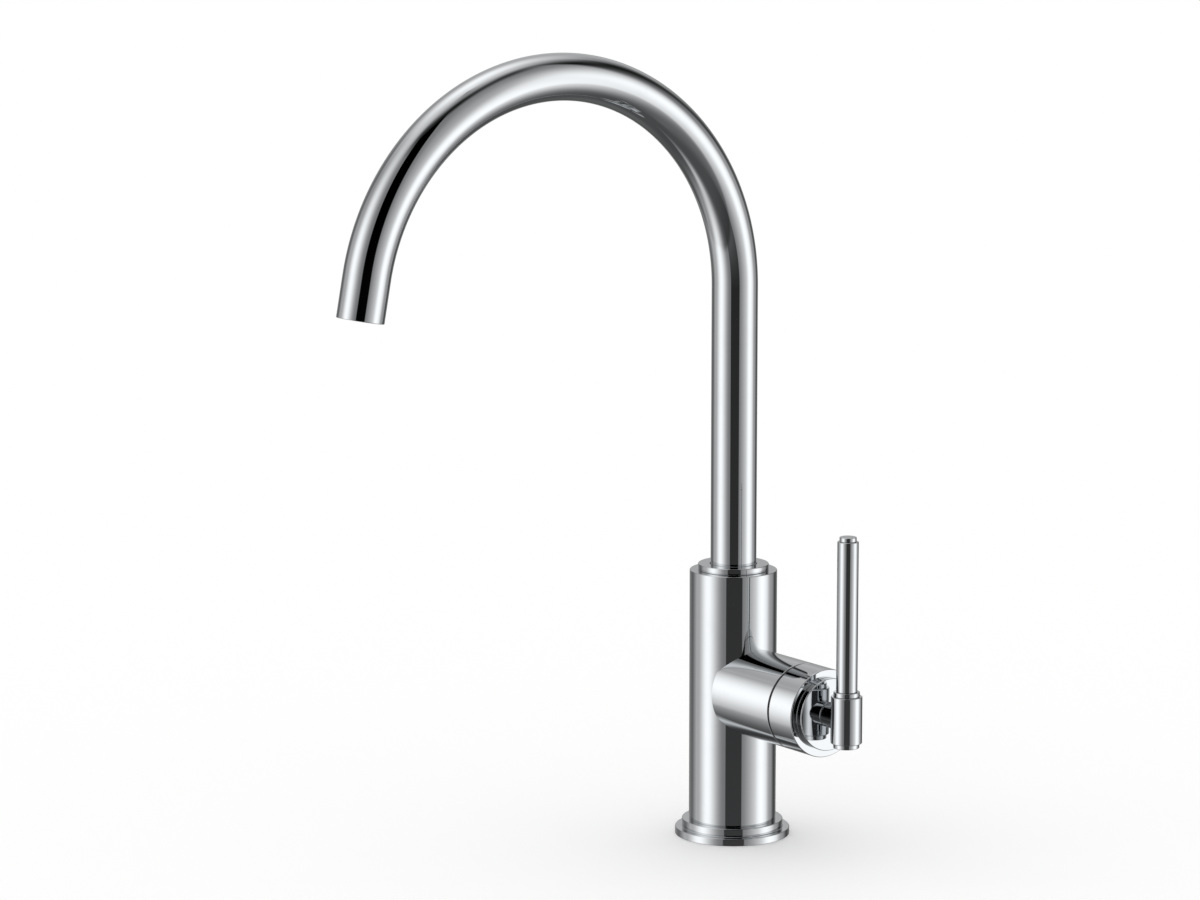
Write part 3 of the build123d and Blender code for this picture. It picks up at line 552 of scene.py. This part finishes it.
def sweep(name, axis, points, on_axis, steps, phase=0.0):
    """A mesh object of rings round a straight or bent line, with exact surface directions.

    The points are as rounded() gives them; unless they end on the axis, the last ring is joined
    to the first. The phase, in steps, keeps the edges of two pieces that cut each other apart.
    """
    angles = [2 * pi * (step + phase) / steps for step in range(steps)]
    rings = []
    verts = []
    frames = []
    for along, radius, _, _ in points:
        origin, u, v, forward = axis.at(along)
        frames.append((u, v, forward))
        if radius == 0:
            rings.append([len(verts)] * steps)
            verts.append(origin * MM)
            continue
        rings.append(list(range(len(verts), len(verts) + steps)))
        verts.extend((origin + (u * cos(a) + v * sin(a)) * radius) * MM for a in angles)

    def direction(index, normal, step):
        u, v, forward = frames[index]
        angle = angles[step]
        return forward * normal.x + (u * cos(angle) + v * sin(angle)) * normal.y

    faces = []
    normals = []
    pairs = [(index, index + 1) for index in range(len(points) - 1)]
    if not on_axis:
        pairs.append((len(points) - 1, 0))
    for first, second in pairs:
        for step in range(steps):
            other = (step + 1) % steps
            corners = [
                (rings[first][step], first, points[first][3], step),
                (rings[first][other], first, points[first][3], other),
                (rings[second][other], second, points[second][2], other),
                (rings[second][step], second, points[second][2], step),
            ]
            if points[first][1] == 0:
                corners.pop(1)
            elif points[second][1] == 0:
                corners.pop(3)
            faces.append([corner[0] for corner in corners])
            normals.extend(direction(*corner[1:]) for corner in corners)
    mesh = bpy.data.meshes.new(name)
    mesh.from_pydata(verts, [], faces)
    keep_normals(mesh, normals)
    return add_object(name, mesh)


def keep_normals(mesh, normals):
    """Writes a surface direction on each corner, where cuts carry it along."""
    store = mesh.attributes.new("surface_direction", "FLOAT_VECTOR", "CORNER")
    store.data.foreach_set("vector", [value for normal in normals for value in normal])


def prism(name, axis, corners, start, end):
    """A straight cutter with flat sides: its corners are given across the axis."""
    count = len(corners)
    verts = []
    for distance in (start, end):
        origin, u, v, _ = axis.at(distance)
        verts.extend((origin + u * x + v * y) * MM for x, y in corners)
    faces = [tuple(reversed(range(count))), tuple(range(count, 2 * count))]
    for index in range(count):
        other = (index + 1) % count
        faces.append((index, other, count + other, count + index))
    mesh = bpy.data.meshes.new(name)
    mesh.from_pydata(verts, [], faces)
    mesh.update()
    keep_normals(mesh, [p.normal.copy() for p in mesh.polygons for _ in p.loop_indices])
    return add_object(name, mesh)


def drill(name, axis, radius, start, end, steps=DRILL_STEPS):
    """A round cutter, closed at both ends."""
    outline = [(start, 0, 0), (start, radius, 0), (end, radius, 0), (end, 0, 0)]
    return turned(name, axis, outline, steps, phase=0.5)


def cut(piece, cutter):
    """Takes a cutter out of a piece, and then out of the scene."""
    modifier = piece.modifiers.new("cut", "BOOLEAN")
    modifier.operation = "DIFFERENCE"
    modifier.solver = "EXACT"
    modifier.object = cutter
    graph = bpy.context.evaluated_depsgraph_get()
    mesh = bpy.data.meshes.new_from_object(piece.evaluated_get(graph))
    piece.modifiers.clear()
    piece.data = mesh
    bpy.data.objects.remove(cutter)


def finish_piece(piece, node, slot, body):
    """Shades a piece by its kept surface directions and puts it in the place of its node."""
    mesh = piece.data
    store = mesh.attributes["surface_direction"].data
    normals = []
    for polygon in mesh.polygons:
        polygon.use_smooth = True
        for index in polygon.loop_indices:
            normal = store[index].vector.copy()
            if normal.length < 0.5:  # a corner that a cut left without a direction
                normal = polygon.normal.copy()
            if normal.dot(polygon.normal) < 0:  # a cutter's face now bounds the metal
                normal.negate()
            normals.append(normal.normalized())
    mesh.normals_split_custom_set(normals)
    mesh.attributes.remove(mesh.attributes["surface_direction"])
    mesh.materials.clear()
    mesh.materials.append(finishes[slot])
    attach(piece, body)
    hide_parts(node)
    return piece


def span(node, direction):
    """Lowest and highest place of a node along X, Y or Z, in millimetres."""
    low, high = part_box(node)
    index = "XYZ".index(direction)
    return round(low[index] / MM, 2), round(high[index] / MM, 2)


def width(node, direction):
    """Size of a node along X, Y or Z, in millimetres."""
    low, high = span(node, direction)
    return round(high - low, 2)


# ---------------------------------------------------------------- sizes

# All in millimetres. What a node's box tells is read from the frame. Bores, holes, threads,
# spigots, pegs and circles are given by their radius.
EDGE = 0.42  # rounding of the plated pieces
SMALL_EDGE = 0.3  # rounding of the lever's small rings
SOFT_EDGE = 0.12  # broken edges that hardly show
FOOT_EDGE = 0.3  # at the foot of a step, which leaves a fine dark groove
STEM_FOOT_EDGE = 0.6  # at the foot of the lever's stem, a fine bright ring on the face disc
SEAM_EDGE = 0.08  # of the turning cap, at its joint with the housing
HOUSING_SEAM_EDGE = 0.3  # of the housing there, which catches a fine line of light
SEAM_WIDTH = 1.4  # seen of the black ring in that joint
SEAM_DEPTH = 0.4  # of the ring below the plated surface
SEAT_FIT = 0.02  # between pieces that are fitted together
CUT_OVERRUN = 1  # of a cutter past the face where it starts or ends
SEAT_OVERRUN = 2  # of the housing's seat past the column

COLUMN_RADIUS = width("body_tube", "Y") / 2
COLUMN_BORE = 16.5
BASE_TOP = span("base_flange", "Z")[1]
BASE_STEP = 3.5
BASE_UPPER_RADIUS = 24.4
GASKET_INNER = 20.48
GASKET_OUTER = 23.52
GASKET_HEIGHT = 1.6
COLUMN_TOP = span("body_tube", "Z")[1]
COLLAR_RADIUS = 17.0
COLLAR_BORE = 11.25

HANDLE_Z = round(sum(span("handle_cap", "Z")) / 2, 2)
HOUSING_RADIUS = width("handle_cap", "Y") / 2
HOUSING_START, HOUSING_END = span("side_housing", "X")
CHAMBER_FLOOR = span("cartridge_base", "X")[0]
CHAMBER_END = span("cartridge_shell", "X")[1]
CHAMBER_RADIUS = 17.52
NUT_RADIUS = 18.2
PORT_RADIUS = 2.2
PORT_CIRCLE = 8.8
INLET_CIRCLE = 9.6
INLET_COUNT = 3
MIXED_PORT_ANGLE = 40.0  # degrees, from +Y towards +Z

CAP_PILOT_START, CAP_END = span("handle_cap", "X")
CAP_START = 55.4
CAP_PILOT_RADIUS = 18.15
SEAM_START = (HOUSING_END + CAP_START - SEAM_WIDTH) / 2
SEAM_END = SEAM_START + SEAM_WIDTH
SEAM_RADIUS = HOUSING_RADIUS - SEAM_DEPTH
RING_BORE = 18.5
CAP_BORE = 16.2
CAP_FLOOR = 6.4
BOSS_RADIUS = 7.5
SPINDLE_SQUARE = 6.44
SPINDLE_SQUARE_LENGTH = 9.4
SPINDLE_END = span("spindle", "X")[1]
SPINDLE_PLAY = 0.4
SCREW_HEAD_HEIGHT = 3.6
SCREW_SEAT = round(span("handle_screw", "X")[1] - SCREW_HEAD_HEIGHT, 2)
SCREW_HOLE = 2.5
SCREW_HEAD_HOLE = 4.6

DISC_RADIUS = width("face_disc", "Y") / 2
DISC_BACK, DISC_FACE = span("face_disc", "X")
DISC_SPIGOT = 9.0
STEM_THREAD = 3.0
STEM_BACK, STEM_END = span("lever_stem", "X")
STEM_RADIUS = width("lever_stem", "Y") / 2

HUB_X = round(sum(span("lever_hub", "X")) / 2, 2)
HUB_RADIUS = width("lever_hub", "Y") / 2
HUB_LOW, HUB_HIGH = span("lever_hub", "Z")
RING_RADIUS = width("rod_collar", "Y") / 2
ROD_FOOT = span("rod_collar", "Z")[1]
ROD_RADIUS = width("lever_rod", "Y") / 2
ROD_BACK, ROD_TOP = span("lever_rod", "Z")
ROD_THREAD = 2.5
PLUG_LOW, PLUG_PEG_TOP = span("hub_plug", "Z")
TIP_RADIUS = width("lever_tip", "Y") / 2
TIP_BACK, TIP_TOP = span("lever_tip", "Z")
TIP_PEG = 2.0

TUBE_RADIUS = width("spout_tube", "X") / 2
TUBE_WALL = 1.0
TUBE_FOOT = span("spout_tube", "Z")[0]
ARCH_RADIUS = 104.5  # of the centre line
ARCH_ANGLE = radians(169.2)
ARCH_START = 267.3  # above the deck
TUBE_END = 19.5  # straight length after the arch
LIP_ROUNDING = 0.3

AERATOR_RECESS = 0.8  # inside the outlet's lip
AERATOR_LENGTH = 12.0
AERATOR_WALL = 1.25
AERATOR_LIP = 0.9
AERATOR_LIP_HEIGHT = 1.0

RISER = Axis((0, 0, 0), (1, 0, 0), (0, 0, 1))
HANDLE = Axis((0, 0, HANDLE_Z), (0, 1, 0), (1, 0, 0))
HUB = Axis((HUB_X, 0, 0), (1, 0, 0), (0, 0, 1))


class SpoutLine:
    """The spout's centre line: up the riser, round the arch and down to the outlet."""

    arch_end = ARCH_START + ARCH_RADIUS * ARCH_ANGLE
    outlet = arch_end + TUBE_END

    def at(self, distance):
        across = Vector((1, 0, 0))
        turn = min(max((distance - ARCH_START) / ARCH_RADIUS, 0.0), ARCH_ANGLE)
        forward = Vector((0, -sin(turn), cos(turn)))
        origin = Vector((0, -ARCH_RADIUS * (1 - cos(turn)), ARCH_START + ARCH_RADIUS * sin(turn)))
        if distance < ARCH_START:
            origin.z = distance
        origin += forward * max(distance - self.arch_end, 0.0)
        return origin, across, forward.cross(across), forward


SPOUT = SpoutLine()
OUTLET_PLACE, OUTLET_ACROSS, _, OUTLET_WAY = SPOUT.at(SPOUT.outlet)
OUTLET = Axis(OUTLET_PLACE, OUTLET_ACROSS, OUTLET_WAY)


# ---------------------------------------------------------------- pieces


def make_base_flange():
    """The stepped base, with the groove of its gasket underneath."""
    lower_radius = width("base_flange", "Y") / 2
    piece = turned("base_flange_plated", RISER, [
        (0, COLUMN_BORE, 0),
        (0, GASKET_INNER, 0),
        (GASKET_HEIGHT, GASKET_INNER, 0),
        (GASKET_HEIGHT, GASKET_OUTER, 0),
        (0, GASKET_OUTER, 0),
        (0, lower_radius, SOFT_EDGE),
        (BASE_STEP, lower_radius, EDGE),
        (BASE_STEP, BASE_UPPER_RADIUS, FOOT_EDGE),
        (BASE_TOP, BASE_UPPER_RADIUS, EDGE),
        (BASE_TOP, COLUMN_BORE, 0),
    ])
    return finish_piece(piece, "base_flange", "chrome_plate", "root")


def make_body_tube():
    """The column, with the seat of the side housing."""
    piece = turned("body_tube_plated", RISER, [
        (BASE_TOP, COLUMN_BORE, 0),
        (BASE_TOP, COLUMN_RADIUS, SOFT_EDGE),
        (COLUMN_TOP, COLUMN_RADIUS, EDGE),
        (COLUMN_TOP, COLUMN_BORE, 0),
    ])
    seat_radius = HOUSING_RADIUS + SEAT_FIT
    seat_end = COLUMN_RADIUS + SEAT_OVERRUN
    cut(piece, drill("seat", HANDLE, seat_radius, HOUSING_START, seat_end, TURN_STEPS))
    return finish_piece(piece, "body_tube", "chrome_plate", "root")


def make_side_housing():
    """The housing beside the column: chamber of the cartridge, and ports in its floor."""
    piece = turned("side_housing_plated", HANDLE, [
        (HOUSING_START, 0, 0),
        (HOUSING_START, HOUSING_RADIUS, SOFT_EDGE),
        (SEAM_START, HOUSING_RADIUS, HOUSING_SEAM_EDGE),
        (SEAM_START, SEAM_RADIUS - SEAT_FIT, 0),
        (HOUSING_END, SEAM_RADIUS - SEAT_FIT, 0),
        (HOUSING_END, NUT_RADIUS, 0),
        (CHAMBER_END, NUT_RADIUS, 0),
        (CHAMBER_END, CHAMBER_RADIUS, 0),
        (CHAMBER_FLOOR, CHAMBER_RADIUS, 0),
        (CHAMBER_FLOOR, 0, 0),
    ])
    angle = radians(MIXED_PORT_ANGLE)
    mixed_port = (PORT_CIRCLE * cos(angle), PORT_CIRCLE * sin(angle))
    filter_port = (0, PORT_CIRCLE)
    ports = [mixed_port, filter_port]
    for index in range(INLET_COUNT):
        # each inlet's port lies straight above it, low on the circle of the ports
        y = INLET_CIRCLE * sin(2 * pi * index / INLET_COUNT)
        aside = min(abs(y), PORT_CIRCLE)
        ports.append((y, -((PORT_CIRCLE**2 - aside**2) ** 0.5)))
    start, end = HOUSING_START - CUT_OVERRUN, CHAMBER_FLOOR + CUT_OVERRUN
    for y, z in ports:
        way = Axis((0, y, HANDLE_Z + z), (0, 1, 0), (1, 0, 0))
        cut(piece, drill("port", way, PORT_RADIUS, start, end))
    return finish_piece(piece, "side_housing", "chrome_plate", "root")


def make_top_collar():
    """The collar on the column, round the foot of the spout."""
    low, high = span("top_collar", "Z")
    piece = turned("top_collar_plated", RISER, [
        (low, COLLAR_BORE, 0),
        (low, COLUMN_BORE - SEAT_FIT, 0),
        (COLUMN_TOP, COLUMN_BORE - SEAT_FIT, 0),
        (COLUMN_TOP, COLLAR_RADIUS, FOOT_EDGE),
        (high, COLLAR_RADIUS, EDGE),
        (high, COLLAR_BORE, EDGE),
    ])
    return finish_piece(piece, "top_collar", "chrome_plate", "root")


def make_handle_cap():
    """The turning cap, with the seats of the spindle, its screw and the face disc."""
    cap_bore_end = CAP_END - CAP_FLOOR
    square_start = SPINDLE_END - SPINDLE_SQUARE_LENGTH
    piece = turned("handle_cap_plated", HANDLE, [
        (CAP_PILOT_START, CAP_BORE, 0),
        (CAP_PILOT_START, CAP_PILOT_RADIUS, 0),
        (CAP_START, CAP_PILOT_RADIUS, 0),
        (CAP_START, SEAM_RADIUS - SEAT_FIT, 0),
        (SEAM_END, SEAM_RADIUS - SEAT_FIT, 0),
        (SEAM_END, HOUSING_RADIUS, SEAM_EDGE),
        (CAP_END, HOUSING_RADIUS, EDGE),
        (CAP_END, DISC_SPIGOT + SEAT_FIT, 0),
        (DISC_BACK, DISC_SPIGOT + SEAT_FIT, 0),
        (DISC_BACK, SCREW_HEAD_HOLE, 0),
        (SCREW_SEAT, SCREW_HEAD_HOLE, 0),
        (SCREW_SEAT, SCREW_HOLE, 0),
        (square_start + SPINDLE_PLAY, SCREW_HOLE, 0),
        (square_start + SPINDLE_PLAY, BOSS_RADIUS, 0),
        (cap_bore_end, BOSS_RADIUS, 0),
        (cap_bore_end, CAP_BORE, 0),
    ], phase=0.5)
    half = SPINDLE_SQUARE / 2
    corners = [(-half, -half), (half, -half), (half, half), (-half, half)]
    square_end = SPINDLE_END + SPINDLE_PLAY
    cut(piece, prism("square", HANDLE, corners, square_start - CUT_OVERRUN, square_end))
    return finish_piece(piece, "handle_cap", "chrome_plate", "lever")


def make_cap_slide_ring():
    """The black ring between housing and cap, with a rim that fills the seam they leave."""
    low, high = span("cap_slide_ring", "X")
    rim = SEAM_RADIUS - 2 * SEAT_FIT
    piece = turned("cap_slide_ring_moulded", HANDLE, [
        (low, RING_BORE, 0),
        (low, rim, 0),
        (SEAM_START + SEAT_FIT, rim, 0),
        (SEAM_START + SEAT_FIT, SEAM_RADIUS, 0),
        (SEAM_END - SEAT_FIT, SEAM_RADIUS, 0),
        (SEAM_END - SEAT_FIT, rim, 0),
        (high, rim, 0),
        (high, RING_BORE, 0),
    ])
    return finish_piece(piece, "cap_slide_ring", "black_acetal", "root")


def make_face_disc():
    """The raised disc on the cap's face."""
    piece = turned("face_disc_plated", HANDLE, [
        (DISC_BACK, STEM_THREAD + SEAT_FIT, 0),
        (DISC_BACK, DISC_SPIGOT, 0),
        (CAP_END, DISC_SPIGOT, 0),
        (CAP_END, DISC_RADIUS, EDGE),
        (DISC_FACE, DISC_RADIUS, EDGE),
        (DISC_FACE, STEM_THREAD + SEAT_FIT, 0),
    ])
    return finish_piece(piece, "face_disc", "chrome_plate", "lever")


def make_lever_stem():
    """The stem that holds the lever's hub off the face disc."""
    piece = turned("lever_stem_plated", HANDLE, [
        (STEM_BACK, 0, 0),
        (STEM_BACK, STEM_THREAD, 0),
        (DISC_FACE, STEM_THREAD, 0),
        (DISC_FACE, STEM_RADIUS, STEM_FOOT_EDGE),
        (STEM_END, STEM_RADIUS, SMALL_EDGE),
        (STEM_END, 0, 0),
    ])
    return finish_piece(piece, "lever_stem", "chrome_plate", "lever")


def make_lever_hub():
    """The hub, threaded along its axis and bored across for the stem."""
    hole = ROD_THREAD + SEAT_FIT
    piece = turned("lever_hub_plated", HUB, [
        (HUB_LOW, hole, 0),
        (HUB_LOW, HUB_RADIUS, EDGE),
        (HUB_HIGH, HUB_RADIUS, EDGE),
        (HUB_HIGH, hole, 0),
    ])
    bore_radius, bore_end = STEM_RADIUS + SEAT_FIT, STEM_END + SEAT_FIT
    cut(piece, drill("bore", HANDLE, bore_radius, DISC_FACE, bore_end, TURN_STEPS))
    return finish_piece(piece, "lever_hub", "chrome_plate", "lever")


def make_rod_collar():
    """The small ring between the hub and the rod."""
    hole = ROD_THREAD + SEAT_FIT
    piece = turned("rod_collar_plated", HUB, [
        (HUB_HIGH, hole, 0),
        (HUB_HIGH, RING_RADIUS, SMALL_EDGE),
        (ROD_FOOT, RING_RADIUS, SMALL_EDGE),
        (ROD_FOOT, hole, 0),
    ])
    return finish_piece(piece, "rod_collar", "chrome_plate", "lever")


def make_hub_plug():
    """The plug under the hub, with its threaded peg."""
    piece = turned("hub_plug_plated", HUB, [
        (PLUG_LOW, 0, 0),
        (PLUG_LOW, RING_RADIUS, SMALL_EDGE),
        (HUB_LOW, RING_RADIUS, SMALL_EDGE),
        (HUB_LOW, ROD_THREAD, 0),
        (PLUG_PEG_TOP, ROD_THREAD, 0),
        (PLUG_PEG_TOP, 0, 0),
    ])
    return finish_piece(piece, "hub_plug", "chrome_plate", "lever")


def make_lever_rod():
    """The rod, threaded into the hub and hollow at its tip."""
    hole = TIP_PEG + SEAT_FIT
    piece = turned("lever_rod_plated", HUB, [
        (ROD_BACK, 0, 0),
        (ROD_BACK, ROD_THREAD, 0),
        (ROD_FOOT, ROD_THREAD, 0),
        (ROD_FOOT, ROD_RADIUS, SMALL_EDGE),
        (ROD_TOP, ROD_RADIUS, EDGE),
        (ROD_TOP, hole, 0),
        (TIP_BACK - SEAT_FIT, hole, 0),
        (TIP_BACK - SEAT_FIT, 0, 0),
    ])
    return finish_piece(piece, "lever_rod", "chrome_plate", "lever")


def make_lever_tip():
    """The button on the rod's tip, with its peg."""
    piece = turned("lever_tip_plated", HUB, [
        (TIP_BACK, 0, 0),
        (TIP_BACK, TIP_PEG, 0),
        (ROD_TOP, TIP_PEG, 0),
        (ROD_TOP, TIP_RADIUS, SMALL_EDGE),
        (TIP_TOP, TIP_RADIUS, SMALL_EDGE),
        (TIP_TOP, 0, 0),
    ])
    return finish_piece(piece, "lever_tip", "chrome_plate", "lever")


def make_spout_tube():
    """The bent tube: outer wall to the rounded outlet lip, and back along the bore."""
    bore = TUBE_RADIUS - TUBE_WALL
    corners, _ = rounded([
        (TUBE_FOOT, bore, 0),
        (TUBE_FOOT, TUBE_RADIUS, 0),
        (SPOUT.outlet, TUBE_RADIUS, LIP_ROUNDING),
        (SPOUT.outlet, bore, LIP_ROUNDING),
    ])
    out, back = Vector((0, 1)), Vector((0, -1))
    arch_length = SPOUT.arch_end - ARCH_START
    stations = [ARCH_START + arch_length * step / ARCH_STEPS for step in range(ARCH_STEPS + 1)]
    outer_wall = [(station, TUBE_RADIUS, out, out) for station in stations]
    inner_wall = [(station, bore, back, back) for station in reversed(stations)]
    outline = corners[:2] + outer_wall + corners[2:] + inner_wall
    piece = sweep("spout_tube_plated", SPOUT, outline, on_axis=False, steps=TUBE_STEPS)
    return finish_piece(piece, "spout_tube", "chrome_plate", "spout")


def make_aerator_housing():
    """The sleeve in the outlet that holds the aerator."""
    outer = TUBE_RADIUS - TUBE_WALL - SEAT_FIT
    bore = TUBE_RADIUS - TUBE_WALL - AERATOR_WALL
    back = -AERATOR_RECESS - AERATOR_LENGTH
    piece = turned("aerator_housing_plated", OUTLET, [
        (back, bore - AERATOR_LIP, 0),
        (back, outer, 0),
        (-AERATOR_RECESS, outer, SOFT_EDGE),
        (-AERATOR_RECESS, bore, SMALL_EDGE),
        (back + AERATOR_LIP_HEIGHT, bore, 0),
        (back + AERATOR_LIP_HEIGHT, bore - AERATOR_LIP, 0),
    ])
    return finish_piece(piece, "aerator_housing", "chrome_plate", "spout")


# ---------------------------------------------------------------- floor

FLOOR_HALF = 14.0  # metres
FLOOR_DROP = 0.1  # mm under the base


def make_floor():
    """Pale floor just under the base; mirrors and anyone looking from below see through it."""
    mesh = bpy.data.meshes.new("floor")
    corners = [(x * FLOOR_HALF, y * FLOOR_HALF, -FLOOR_DROP * MM)
               for x, y in ((-1, -1), (1, -1), (1, 1), (-1, 1))]
    mesh.from_pydata(corners, [], [(0, 1, 2, 3)])
    floor = add_object("floor", mesh)
    material, n = new_material("pale_floor")
    paint = n.add("ShaderNodeBsdfDiffuse")
    paint.inputs["Color"].default_value = WHITE
    clear = n.add("ShaderNodeBsdfTransparent")
    below = n.add("ShaderNodeNewGeometry").outputs["Backfacing"]
    mix = n.add("ShaderNodeMixShader")
    n.link(n.math("MAXIMUM", n.is_mirrored(), below), mix.inputs[0])
    n.link(paint.outputs[0], mix.inputs[1])
    n.link(clear.outputs[0], mix.inputs[2])
    show_surface(n, mix)
    mesh.materials.append(material)


# ---------------------------------------------------------------- build

bpy.context.scene.view_settings.view_transform = "Standard"
bpy.context.scene.cycles.min_light_bounces = 4  # keeps metal seen in metal free of grain
make_camera()
make_world()
make_floor()
finishes = make_finishes()
slots = {part["node"]: part["material_slot"] for part in frame["record"]["subparts"]}
for name, node in frame["nodes"].items():
    node.data.materials.clear()
    node.data.materials.append(finishes[slots[name]])

make_base_flange()
make_body_tube()
housing = make_side_housing()
make_top_collar()
cap = make_handle_cap()
make_cap_slide_ring()
make_strip_light("housing_strip", housing, cap)
make_face_disc()
make_lever_stem()
make_lever_hub()
make_rod_collar()
make_hub_plug()
make_lever_rod()
make_lever_tip()
make_spout_tube()
make_aerator_housing()
